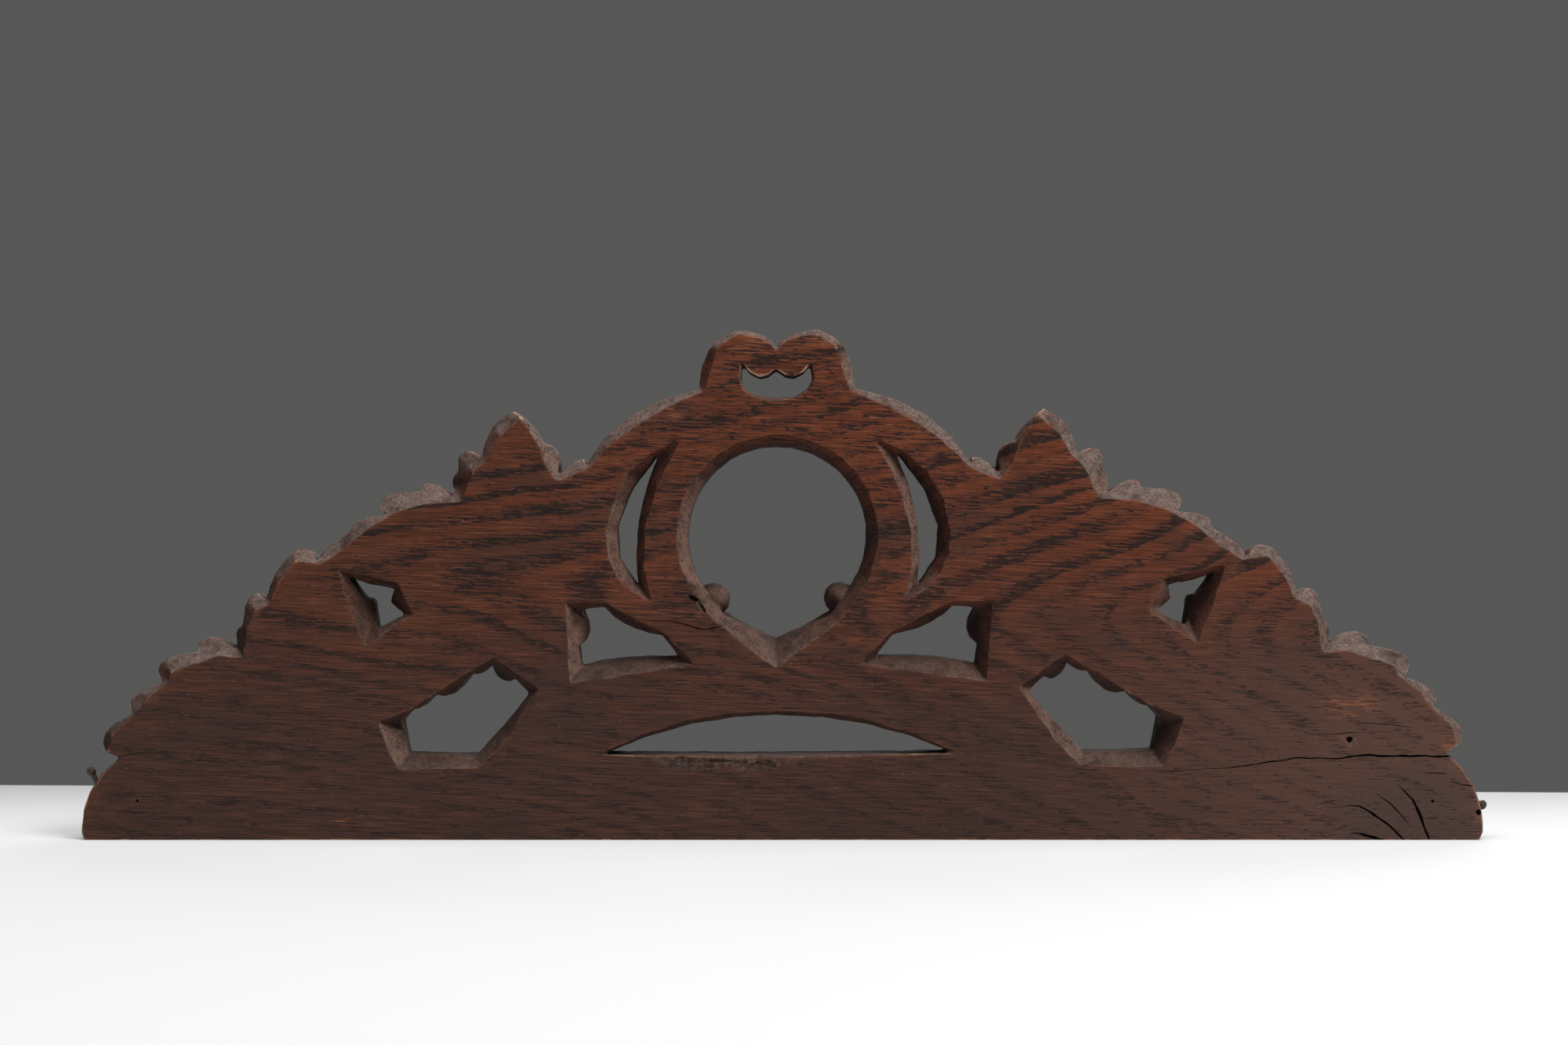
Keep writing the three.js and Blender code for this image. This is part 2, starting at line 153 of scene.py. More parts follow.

# Colours of the wood and the iron, as on a screen, with parts from 0 to 255
UPPER_WOOD_LEFT = (97, 50, 29)
UPPER_WOOD_RIGHT = (110, 54, 29)
LOWER_WOOD = (77, 48, 37)
UPPER_EARLY_WOOD = (64, 37, 27)
LOWER_EARLY_WOOD = (58, 37, 30)
# painted highlight along the fibres of the flat back
PAINTED_SHEEN = (136, 92, 72)
DARK_STAIN = (56, 38, 32)
# paler wood towards the lower right
PALER_LOWER_RIGHT_WOOD = (96, 68, 58)
WORN_WOOD = (150, 90, 60)
KNOT_WOOD = (62, 50, 46)
PLUG_RIM = (34, 25, 22)
OPEN_PORE = (20, 13, 12)
FACE_DUST = (104, 88, 81)
INNER_DUST_DARK = (82, 63, 55)
INNER_DUST_PALE = (116, 94, 84)
# dust with painted light, for inner walls that look to the right
INNER_DUST_PAINTED_LIGHT = (142, 110, 96)
OUTER_DUST_DARK = (86, 71, 65)
OUTER_DUST_PALE = (128, 110, 102)
DIRT = (50, 37, 32)
# painted shade on cut walls
SHADED_WALL = (17, 13, 12)
CUT_PORE = (22, 16, 15)
# painted shade far inside the openings
DEEP_WALL_SHADE = (28, 20, 18)
WARM_ARRIS = (142, 84, 54)
# worn pale wood with a painted highlight on the arrises
WORN_AND_HIGHLIT_ARRIS = (192, 154, 128)
# dirt and painted shade in hollows
GRIME_AND_SHADE = (18, 14, 13)
DARK_RUST = (62, 46, 40)
PALE_RUST = (104, 78, 66)
BARE_IRON = (52, 46, 44)
# Factors on the wood's own colour
DULL_FIBRE = (0.42, 0.44, 0.46, 1)
RAW_CUT = (0.62, 0.6, 0.6, 1)

# Sizes of the marks on the wood, in millimetres
FIBRE_SPACING = 0.8
FIBRE_STRETCH = 30.0  # how many times longer the fibres are
GRAIN_FALL = 0.04  # fall of the pores and fibres to the right
PORE_CLUMP = 14.0
RING_FADE = 90.0  # length along which a ring grows fainter or stronger
UPPER_CLOUD = 45.0  # waves of the line above which the wood is redder
UPPER_SWING = 110.0
UPPER_FROM_TO = (115.0, 275.0)
STAIN_CLOUD = 34.0
WORN_STREAK = 5.0
FACE_DUST_CLOUD = 4.0
SPECK_SPACING = 6.5
GRIT = 2.2
CUT_PORE_SPACING = 1.7
CUT_PORE_CLUMP = 7.0
DIRT_CLOUD = 6.0
DUST_CLOUD = 16.0

# Nails: where the shank leaves the wood, its direction and how far it stands out, in millimetres
NAIL_Y = -8.0
NAIL_RADIUS = 1.7
NAIL_HEAD_RADIUS = 3.1
NAIL_HEAD_DEPTH = 5.4
NAIL_BURIED = 13.0
NAILS = {
    "nail_left": {"at": (-440.2, 36.6), "towards": (-0.45, 0.893), "stands": 10.0, "bend": 0.4},
    "nail_right": {"at": (446.2, 23.0), "towards": (0.88, -0.47), "stands": 7.0, "bend": 0.2},
}

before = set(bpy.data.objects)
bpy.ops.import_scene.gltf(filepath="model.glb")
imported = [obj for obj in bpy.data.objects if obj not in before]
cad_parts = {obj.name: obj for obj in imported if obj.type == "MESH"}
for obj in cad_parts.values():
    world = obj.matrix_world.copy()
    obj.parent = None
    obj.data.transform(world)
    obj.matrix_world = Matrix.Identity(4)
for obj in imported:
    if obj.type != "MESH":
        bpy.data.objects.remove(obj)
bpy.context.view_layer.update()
FACE_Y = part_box("pediment_board")[0].y  # the flat back


# Arrays of points, and smooth noise on them

def lattice_values(cells, seed):
    """A fixed number from -1 to 1 for every whole-numbered cell."""
    x, y, z = (cells[:, i].astype(np.uint64) for i in range(3))
    mixed = x * np.uint64(73856093) ^ y * np.uint64(19349663) ^ z * np.uint64(83492791)
    mixed = (mixed + np.uint64(seed * 7919)) & np.uint64(0xFFFFFFFF)
    for shift in (15, 12):
        mixed = ((mixed >> np.uint64(shift)) ^ mixed) * np.uint64(0x2C1B3C6D)
        mixed &= np.uint64(0xFFFFFFFF)
    return (mixed >> np.uint64(8)).astype(float) / 2**23 - 1


def smooth_noise(points, size, seed):
    """Noise from -1 to 1 at rows of points, with features of that size."""
    scaled = points / size + 1000.0
    cells = np.floor(scaled).astype(np.int64)
    share = scaled - cells
    share = share * share * (3 - 2 * share)
    total = np.zeros(len(points))
    for corner in np.ndindex(2, 2, 2):
        weight = np.prod(np.where(corner, share, 1 - share), axis=1)
        total += weight * lattice_values(cells + np.array(corner), seed)
    return total


def smooth_step(values, low, high):
    share = np.clip((values - low) / (high - low), 0, 1)
    return share * share * (3 - 2 * share)


def points_of(mesh):
    flat = np.empty(len(mesh.vertices) * 3)
    mesh.vertices.foreach_get("co", flat)
    return flat.reshape(-1, 3)


def normals_of(mesh):
    flat = np.empty(len(mesh.vertices) * 3)
    mesh.vertices.foreach_get("normal", flat)
    return flat.reshape(-1, 3)


def edges_of(mesh):
    flat = np.empty(len(mesh.edges) * 2, np.int64)
    mesh.edges.foreach_get("vertices", flat)
    return flat.reshape(-1, 2)


def move_points(mesh, points):
    mesh.vertices.foreach_set("co", points.astype(np.float32).ravel())
    mesh.update()


def softened(points, edges, rounds):
    """The points after so many passes that move each halfway to the mean of its neighbours."""
    ends = np.concatenate([edges[:, 0], edges[:, 1]])
    others = np.concatenate([edges[:, 1], edges[:, 0]])
    count = np.bincount(ends, minlength=len(points))[:, None]
    moved = points
    for _ in range(rounds):
        sums = [np.bincount(ends, weights=moved[others, i], minlength=len(points)) for i in range(3)]
        moved = (moved + np.stack(sums, axis=1) / count) / 2
    return moved


# Pieces

def new_piece(name, mesh):
    piece = bpy.data.objects.new(name, mesh)
    bpy.context.scene.collection.objects.link(piece)
    return piece


def apply_modifiers(piece):
    graph = bpy.context.evaluated_depsgraph_get()
    mesh = bpy.data.meshes.new_from_object(piece.evaluated_get(graph))
    piece.modifiers.clear()
    old = piece.data
    piece.data = mesh
    bpy.data.meshes.remove(old)


def relief(points, normals, wear):
    """How far each point of the board moves along its normal."""
    wall = 1 - smooth_step(np.abs(normals[:, 1]), 0.8, 0.97)
    face = smooth_step(-normals[:, 1], 0.8, 0.97)
    front = smooth_step(normals[:, 1], 0.2, 0.6)
    cuts = smooth_noise(points, TOOL_FACET, 1) + 0.5 * smooth_noise(points, TOOL_FACET / 2.3, 2)
    moved = TOOL_DEPTH * (0.8 * wall + 0.5 * front) * cuts
    stretched = points / np.array([3.0, 1.0, 1.0])
    moved += FACE_WAVE_DEPTH * face * smooth_noise(stretched, FACE_WAVE, 3)
    bruises = smooth_noise(points, NICK_SPACING, 4) + 0.4 * smooth_noise(points, NICK_SPACING / 3, 5)
    nick = smooth_step(bruises, 0.35, 0.9)
    moved -= NICK_DEPTH * nick * smooth_step(wear, 0.25, 0.8)
    x, z = points[:, 0] / MM, points[:, 2] / MM
    from_hole = np.hypot(x - NAIL_HOLE[0], z - NAIL_HOLE[1])
    moved -= NAIL_HOLE_DISH_DEPTH * MM * face * (1 - smooth_step(from_hole, 1.0, NAIL_HOLE_DISH))
    return moved


def prism(name, rings):
    """Closed mesh through rings of points, which all have the same count."""
    shape = bmesh.new()
    loops = [[shape.verts.new(p) for p in ring] for ring in rings]
    for near, far in zip(loops, loops[1:]):
        for i in range(len(near)):
            j = (i + 1) % len(near)
            shape.faces.new((near[i], near[j], far[j], far[i]))
    shape.faces.new(list(reversed(loops[0])))
    shape.faces.new(loops[-1])
    bmesh.ops.recalc_face_normals(shape, faces=shape.faces)
    bmesh.ops.triangulate(shape, faces=shape.faces)
    mesh = bpy.data.meshes.new(name)
    shape.to_mesh(mesh)
    shape.free()
    return new_piece(name, mesh)


def crack_cutter(index, rows, depth):
    """Thin wedge along the rows of a crack, sharp at the bottom and just proud of the face."""
    rows = np.array(rows, float)
    lengths = np.concatenate([[0], np.cumsum(np.hypot(*np.diff(rows[:, :2], axis=0).T))])
    steps = max(4, round(lengths[-1] / CRACK_STEP))
    along = np.linspace(0, lengths[-1], steps + 1)
    x, z, width = (np.interp(along, lengths, rows[:, i]) for i in range(3))
    wander = np.stack([along, np.full_like(along, index * 37.0), np.zeros_like(along)], axis=1)
    z = z + CRACK_WANDER * smooth_noise(wander, 5.0, 9)
    width = width * (1 + 0.35 * smooth_noise(wander, 3.0, 10))
    run_x, run_z = np.gradient(x), np.gradient(z)
    run = np.hypot(run_x, run_z)
    side_x, side_z = -run_z / run, run_x / run
    proud = 1.0
    half = width / 2 * (1 + proud / depth)
    share = np.clip(np.minimum(along, lengths[-1] - along) / (0.25 * lengths[-1]), 0.25, 1)
    rings = []
    for i in range(len(along)):
        top, bottom = FACE_Y - proud * MM, FACE_Y + depth * share[i] * MM
        rings.append([
            ((x[i] + side_x[i] * half[i]) * MM, top, (z[i] + side_z[i] * half[i]) * MM),
            ((x[i] - side_x[i] * half[i]) * MM, top, (z[i] - side_z[i] * half[i]) * MM),
            (x[i] * MM, bottom, z[i] * MM),
        ])
    return prism(f"crack_cutter_{index}", rings)


def hole_cutter(index, at, radius):
    """Slightly uneven round peg, square to the flat back."""
    rings = []
    for y in (-2.0, HOLE_DEPTH):
        ring = []
        for k in range(14):
            angle = 2 * math.pi * k / 14
            r = radius * (1 + 0.12 * math.sin(3 * angle + index))
            x, z = at[0] + r * math.cos(angle), at[1] + r * math.sin(angle)
            ring.append((x * MM, FACE_Y + y * MM, z * MM))
        rings.append(ring)
    return prism(f"hole_cutter_{index}", rings)


def gouge_cutter(index, gouge):
    """Rough blob across the face, long in one direction."""
    shape = bmesh.new()
    bmesh.ops.create_uvsphere(shape, u_segments=24, v_segments=14, radius=1.0)
    round_points = np.array([v.co for v in shape.verts])
    rough = 1 + GOUGE_ROUGHNESS * smooth_noise(round_points + 10.0 * index, 0.45, 11)
    (half_x, half_z), slant = gouge["half"], math.radians(gouge["slant"])
    for vert, p, r in zip(shape.verts, round_points, rough):
        x, z = p[0] * r * half_x, p[2] * r * half_z
        along = gouge["at"][0] + x * math.cos(slant) - z * math.sin(slant)
        up = gouge["at"][1] + x * math.sin(slant) + z * math.cos(slant)
        vert.co = (along * MM, FACE_Y + p[1] * r * gouge["depth"] * MM, up * MM)
    bmesh.ops.triangulate(shape, faces=shape.faces)
    mesh = bpy.data.meshes.new(f"gouge_cutter_{index}")
    shape.to_mesh(mesh)
    shape.free()
    return new_piece(mesh.name, mesh)


def cut(piece, cutter):
    modifier = piece.modifiers.new("cut", "BOOLEAN")
    modifier.operation = "DIFFERENCE"
    modifier.solver = "MANIFOLD"
    modifier.object = cutter
    apply_modifiers(piece)
    mesh = cutter.data
    bpy.data.objects.remove(cutter)
    bpy.data.meshes.remove(mesh)


def make_board():
    board = new_piece("carved_board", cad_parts["pediment_board"].data.copy())
    board.data.materials.clear()
    remesh = board.modifiers.new("voxels", "REMESH")
    remesh.mode = "VOXEL"
    remesh.voxel_size = VOXEL
    apply_modifiers(board)
    mesh = board.data
    edges = edges_of(mesh)
    move_points(mesh, softened(points_of(mesh), edges, SOFTENING_ROUNDS))
    points, normals = points_of(mesh), normals_of(mesh)
    out = np.einsum("ij,ij->i", points - softened(points, edges, WEAR_ROUNDS), normals) / VOXEL
    points = points + normals * relief(points, normals, out)[:, None]
    points[:, 2] = np.maximum(points[:, 2], 0)
    move_points(mesh, points)
    triangles = sum(len(p.vertices) - 2 for p in mesh.polygons)
    decimate = board.modifiers.new("fewer", "DECIMATE")
    decimate.ratio = min(1, MOST_TRIANGLES / triangles)
    apply_modifiers(board)
    for i, (rows, depth) in enumerate(CRACKS):
        cut(board, crack_cutter(i, rows, depth))
    holes = [(NAIL_HOLE, NAIL_HOLE_RADIUS)] + [(at, PIN_HOLE_RADIUS) for at in PIN_HOLES]
    for i, (at, radius) in enumerate(holes):
        cut(board, hole_cutter(i, at, radius))
    for i, gouge in enumerate(GOUGES):
        cut(board, gouge_cutter(i, gouge))
    keep_wear(board.data, points, out)
    corners = [v.co for v in board.data.vertices]
    tree = BVHTree.FromPolygons(corners, [p.vertices for p in board.data.polygons])
    keep_value(board.data, "open_sky", free_shares(board.data, tree, SKY_RAYS, 0, SKY_REACH))
    keep_value(board.data, "open_near", free_shares(board.data, tree, NEAR_RAYS, NEAR_LEAN, NEAR_REACH))
    shade(board)
    return board


def shade(piece):
    """Smooth shading with crisp edges, and no material yet."""
    piece.data.materials.clear()
    piece.data.shade_smooth()
    piece.data.set_sharp_from_angle(angle=SHARP_EDGE)


def keep_value(mesh, name, values):
    """Stores a number on each point, for the material to read."""
    attribute = mesh.attributes.new(name, "FLOAT", "POINT")
    attribute.data.foreach_set("value", np.asarray(values, np.float32))


def keep_wear(mesh, points, out):
    """Stores on each point how far the surface stands out there, from the nearest dense point."""
    tree = KDTree(len(points))
    for i, p in enumerate(points):
        tree.insert(p, i)
    tree.balance()
    nearest = [tree.find(v.co)[1] for v in mesh.vertices]
    keep_value(mesh, "stands_out", out[nearest])


def free_shares(mesh, tree, rays, lean, reach):
    """Share of the rays from each point that meet nothing within reach, turned towards its normal."""
    shares = []
    for vert in mesh.vertices:
        start = vert.co + vert.normal * RAY_START
        turned = [(Vector(ray) + vert.normal * lean).normalized() for ray in rays]
        free = [tree.ray_cast(start, ray, reach)[0] is None for ray in turned]
        shares.append(sum(free) / len(free))
    return shares


def make_nail(name):
    """Bent shank with an uneven domed head, as a turned mesh along a curved axis."""
    nail = NAILS[name]
    neck = nail["stands"] - NAIL_HEAD_DEPTH
    profile = [(0.12, -NAIL_BURIED), (NAIL_RADIUS * 0.9, -NAIL_BURIED + 5)]
    profile += [(NAIL_RADIUS, t) for t in np.linspace(-NAIL_BURIED / 2, neck, 8)]
    for angle in np.linspace(-50, 80, 9):
        r = NAIL_HEAD_RADIUS * math.cos(math.radians(angle))
        profile.append((r, neck + NAIL_HEAD_DEPTH * (0.46 + 0.54 * math.sin(math.radians(angle)))))
    axis = Vector((nail["towards"][0], 0, nail["towards"][1])).normalized()
    across = Vector((0, 1, 0))
    side = axis.cross(across)
    start = Vector((nail["at"][0], NAIL_Y, nail["at"][1]))
    rings = []
    for r, t in profile:
        bend = nail["bend"] * (max(t, 0) / nail["stands"]) ** 2
        centre = start + axis * t + side * bend
        ring = []
        for k in range(24):
            angle = 2 * math.pi * k / 24
            uneven = r * (1 + 0.07 * math.sin(2 * angle + t) + 0.05 * math.sin(5 * angle - 2 * t))
            ring.append((centre + (across * math.cos(angle) + side * math.sin(angle)) * uneven) * MM)
        rings.append(ring)
    piece = prism(name + "_iron", rings)
    shade(piece)
    return piece


# Materials

class Shader:
    """A material whose nodes are put together by short calls."""

    def __init__(self, name):
        self.material = bpy.data.materials.new(name)
        self.material.use_nodes = True
        self.nodes = self.material.node_tree.nodes
        self.links = self.material.node_tree.links
        self.surface = self.nodes["Principled BSDF"]

    def put(self, socket, value):
        if isinstance(value, bpy.types.NodeSocket):
            self.links.new(value, socket)
        else:
            socket.default_value = value

    def math(self, operation, *values):
        node = self.nodes.new("ShaderNodeMath")
        node.operation = operation
        for socket, value in zip(node.inputs, values):
            self.put(socket, value)
        return node.outputs[0]

    def step(self, value, low, high):
        node = self.nodes.new("ShaderNodeMapRange")
        node.interpolation_type = "SMOOTHSTEP"
        self.put(node.inputs["Value"], value)
        node.inputs["From Min"].default_value = low
        node.inputs["From Max"].default_value = high
        return node.outputs["Result"]

    def scaled(self, vector, factors):
        node = self.nodes.new("ShaderNodeVectorMath")
        node.operation = "MULTIPLY"
        self.put(node.inputs[0], vector)
        node.inputs[1].default_value = factors
        return node.outputs[0]

    def noise(self, vector, size, detail=2.0, roughness=0.5):
        """Noise from 0 to 1, with features of that size, in the vector's own units."""
        node = self.nodes.new("ShaderNodeTexNoise")
        self.put(node.inputs["Vector"], vector)
        node.inputs["Scale"].default_value = 1 / size
        node.inputs["Detail"].default_value = detail
        node.inputs["Roughness"].default_value = roughness
        return node.outputs[0]

    def dots(self, vector, size):
        """Distance to the nearest of scattered points, in cells."""
        node = self.nodes.new("ShaderNodeTexVoronoi")
        self.put(node.inputs["Vector"], vector)
        node.inputs["Scale"].default_value = 1 / size
        return node.outputs["Distance"]

    def mix(self, share, first, second, kind="MIX"):
        node = self.nodes.new("ShaderNodeMix")
        node.data_type = "RGBA"
        node.blend_type = kind
        self.put(node.inputs["Factor"], share)
        self.put(node.inputs["A"], first)
        self.put(node.inputs["B"], second)
        return node.outputs["Result"]

    def parts(self, vector):
        node = self.nodes.new("ShaderNodeSeparateXYZ")
        self.put(node.inputs[0], vector)
        return node.outputs[0], node.outputs[1], node.outputs[2]

    def joined(self, x, y, z):
        node = self.nodes.new("ShaderNodeCombineXYZ")
        for socket, value in zip(node.inputs, (x, y, z)):
            self.put(socket, value)
        return node.outputs[0]

    def place(self):
        """Place on the object, in millimetres."""
        node = self.nodes.new("ShaderNodeTexCoord")
        return self.scaled(node.outputs["Object"], (1 / MM, 1 / MM, 1 / MM))

    def normal(self):
        return self.nodes.new("ShaderNodeNewGeometry").outputs["Normal"]

    def attribute(self, name):
        node = self.nodes.new("ShaderNodeAttribute")
        node.attribute_name = name
        return node.outputs["Fac"]

    def bump(self, height, distance, strength):
        node = self.nodes.new("ShaderNodeBump")
        node.inputs["Strength"].default_value = strength
        node.inputs["Distance"].default_value = distance
        self.put(node.inputs["Height"], height)
        self.links.new(node.outputs[0], self.surface.inputs["Normal"])


def colour(screen):
    """Linear colour of a screen colour with parts from 0 to 255."""
    parts = []
    for part in screen:
        share = part / 255
        parts.append(share / 12.92 if share <= 0.04045 else ((share + 0.055) / 1.055) ** 2.4)
    return (*parts, 1.0)


def ring_phase(s, place):
    """Where a point lies in its growth ring, from 0 to 1, and a number for the ring."""
    x, y, z = s.parts(place)
    slow = s.math("MULTIPLY_ADD", s.noise(s.scaled(place, (0.45, 1, 1)), 70.0, 1.0), 36.0, -18.0)
    quick = s.math("MULTIPLY_ADD", s.noise(s.scaled(place, (0.22, 1, 1)), 11.0), 5.0, -2.5)
    from_pith_z = s.math("ADD", s.math("MULTIPLY_ADD", x, PITH_FALL, z), s.math("ADD", slow, quick))
    from_pith_z = s.math("SUBTRACT", from_pith_z, PITH_Z)
    from_pith_y = s.math("SUBTRACT", y, PITH_Y)
    squares = s.math("MULTIPLY_ADD", from_pith_z, from_pith_z, s.math("MULTIPLY", from_pith_y, from_pith_y))
    cone = s.math("MULTIPLY", x, s.math("MULTIPLY_ADD", x, RING_TAPER_GAIN, RING_TAPER))
    rings = s.math("DIVIDE", s.math("SUBTRACT", s.math("SQRT", squares), cone), RING_WIDTH)
    uneven = s.noise(s.joined(s.math("MULTIPLY", rings, 0.55), 0.0, 0.0), 1.0, 1.0)
    rings = s.math("MULTIPLY_ADD", uneven, 1.5, rings)
    return s.math("FRACT", rings), s.math("FLOOR", rings)


def patch(s, place, spot, softness):
    """1 inside an oval on the flat back, fading to 0 round it."""
    x, _, z = s.parts(place)
    (at_x, at_z), (half_x, half_z) = spot["at"], spot["half"]
    along = s.math("DIVIDE", s.math("SUBTRACT", x, at_x), half_x)
    up = s.math("DIVIDE", s.math("SUBTRACT", z, at_z), half_z)
    far = s.math("SQRT", s.math("MULTIPLY_ADD", along, along, s.math("MULTIPLY", up, up)))
    return s.math("SUBTRACT", 1.0, s.step(far, 1 - softness, 1 + softness))


def plug_rim(s, place):
    """1 along the rim of the filled hole on the flat back."""
    spot = {"at": PLUG, "half": (PLUG_RADIUS, PLUG_RADIUS)}
    inside = {"at": PLUG, "half": (0.72 * PLUG_RADIUS, 0.72 * PLUG_RADIUS)}
    return s.math("SUBTRACT", patch(s, place, spot, 0.1), patch(s, place, inside, 0.2))


def most(s, shares):
    """The largest of several shares."""
    return reduce(partial(s.math, "MAXIMUM"), shares)


def grain(s, place):
    """Shares of early wood, of the redder upper wood, of pores and of fibres."""
    x, y, z = s.parts(place)
    in_ring, ring = ring_phase(s, place)
    early = s.math("SUBTRACT", s.step(in_ring, 0.0, 0.16), s.step(in_ring, 0.34, 0.8))
    weight = s.noise(s.joined(s.math("MULTIPLY", ring, 3.7), s.math("DIVIDE", x, RING_FADE), 0.0), 1.0, 1.0)
    early = s.math("MULTIPLY", early, s.step(weight, 0.15, 0.6))
    even = patch(s, place, EVEN_GRAIN, 0.4)
    early = s.math("MULTIPLY", early, s.math("MULTIPLY_ADD", even, -0.55, 1.0))

    ragged = s.noise(s.scaled(place, (0.35, 1, 1)), UPPER_CLOUD, 3.0)
    upper = s.step(s.math("MULTIPLY_ADD", ragged, UPPER_SWING, z), *UPPER_FROM_TO)

    # Ragged dashes along the grain, crowded in the early wood of each ring, sparse and short below
    level = s.joined(x, y, s.math("MULTIPLY_ADD", x, GRAIN_FALL, z))
    long_dash = s.noise(s.scaled(level, (1 / PORE_STRETCH, 1, 1)), PORE_SPACING, 2.0, 0.6)
    short_dash = s.noise(s.scaled(level, (3.5 / PORE_STRETCH, 1, 1)), PORE_SPACING, 2.0, 0.6)
    long_dash = s.math("MULTIPLY_ADD", upper, 0.03, long_dash)
    dash = s.math("MAXIMUM", long_dash, s.math("ADD", short_dash, 0.015))
    crowd = s.math("MULTIPLY", early, s.math("MULTIPLY_ADD", upper, 0.09, 0.11))
    crowd = s.math("MULTIPLY_ADD", even, 0.06, crowd)
    crowd = s.math("MULTIPLY_ADD", s.noise(place, PORE_CLUMP), 0.12, crowd)
    pores = s.step(s.math("ADD", dash, crowd), 0.738, 0.766)
    fibres = s.noise(s.scaled(level, (1 / FIBRE_STRETCH, 1, 1)), FIBRE_SPACING, 4.0, 0.7)
    return early, upper, pores, fibres


def stained_wood(s, place, early, upper, pores, fibres):
    """Colour of the planed and stained wood, redder above, with a painted highlight along the fibres."""
    x, _, z = s.parts(place)
    upper_wood = s.mix(s.step(x, -260.0, 20.0), colour(UPPER_WOOD_LEFT), colour(UPPER_WOOD_RIGHT))
    late_wood = s.mix(upper, colour(LOWER_WOOD), upper_wood)
    early_wood = s.mix(upper, colour(LOWER_EARLY_WOOD), colour(UPPER_EARLY_WOOD))
    wood = s.mix(s.math("MULTIPLY", early, s.math("MULTIPLY_ADD", upper, 0.22, 0.13)), late_wood, early_wood)
    dull = s.mix(1.0, wood, DULL_FIBRE, "MULTIPLY")
    wood = s.mix(s.step(fibres, 0.36, 0.62), dull, wood)
    # painted highlight along the fibres, stronger on the upper wood
    painted_sheen = s.math("MULTIPLY", s.step(fibres, 0.56, 0.7), s.math("MULTIPLY_ADD", upper, 0.3, 0.12))
    wood = s.mix(painted_sheen, wood, colour(PAINTED_SHEEN))
    stain = s.step(s.noise(s.scaled(place, (0.4, 1, 1)), STAIN_CLOUD, 4.0, 0.6), 0.46, 0.7)
    wood = s.mix(s.math("MULTIPLY", stain, 0.55), wood, colour(DARK_STAIN))
    # paler towards the lower right of the flat back
    paler_lower_right = s.math("MULTIPLY", s.step(x, 80.0, 460.0), s.math("SUBTRACT", 1.0, s.step(z, 70.0, 190.0)))
    wood = s.mix(s.math("MULTIPLY", paler_lower_right, 0.6), wood, colour(PALER_LOWER_RIGHT_WOOD))
    rubbed_off = most(s, [patch(s, place, spot, 0.6) for spot in WORN_PATCHES])
    rubbed_off = s.math("MULTIPLY", rubbed_off, s.step(fibres, 0.42, 0.58))
    streaks = s.step(s.noise(s.scaled(place, (0.3, 1, 1)), WORN_STREAK, 3.0), 0.42, 0.62)
    rubbed_off = s.math("MULTIPLY", rubbed_off, s.math("MULTIPLY", streaks, 0.7))
    wood = s.mix(rubbed_off, wood, colour(WORN_WOOD))
    wood = s.mix(s.math("MULTIPLY", patch(s, place, KNOT, 0.5), 0.5), wood, colour(KNOT_WOOD))
    wood = s.mix(s.math("MULTIPLY", plug_rim(s, place), 0.6), wood, colour(PLUG_RIM))
    pore_dark = s.math("MULTIPLY", pores, s.math("MULTIPLY_ADD", upper, 0.25, 0.6))
    wood = s.mix(pore_dark, wood, colour(OPEN_PORE))
    dust = most(s, [patch(s, place, spot, 0.5) for spot in DUSTY_PATCHES])
    dust = s.math("MULTIPLY", dust, s.step(s.noise(place, FACE_DUST_CLOUD, 3.0, 0.7), 0.42, 0.66))
    specks = s.math("SUBTRACT", 1.0, s.step(s.dots(place, SPECK_SPACING), 0.05, 0.09))
    return s.mix(s.math("MULTIPLY", s.math("MAXIMUM", dust, specks), 0.55), wood, colour(FACE_DUST))


def wall_dust_and_light(s, place, gritty):
    """Colour of the dust on the cuts: greyer where the sky is open, and paler with painted light on walls
    that look to the right.
    """
    across, _, _ = s.parts(s.normal())
    inside = s.mix(gritty, colour(INNER_DUST_DARK), colour(INNER_DUST_PALE))
    # painted light: paler on walls that look to the right
    looks_right = s.math("MULTIPLY", s.step(across, 0.3, 0.8), 0.6)
    inside = s.mix(looks_right, inside, colour(INNER_DUST_PAINTED_LIGHT))
    outside = s.mix(gritty, colour(OUTER_DUST_DARK), colour(OUTER_DUST_PALE))
    dusty = s.mix(s.step(s.attribute("open_sky"), 0.4, 0.95), inside, outside)
    dirty = s.step(s.noise(place, DIRT_CLOUD, 3.0, 0.6), 0.44, 0.7)
    return s.mix(s.math("MULTIPLY", dirty, 0.45), dusty, colour(DIRT))


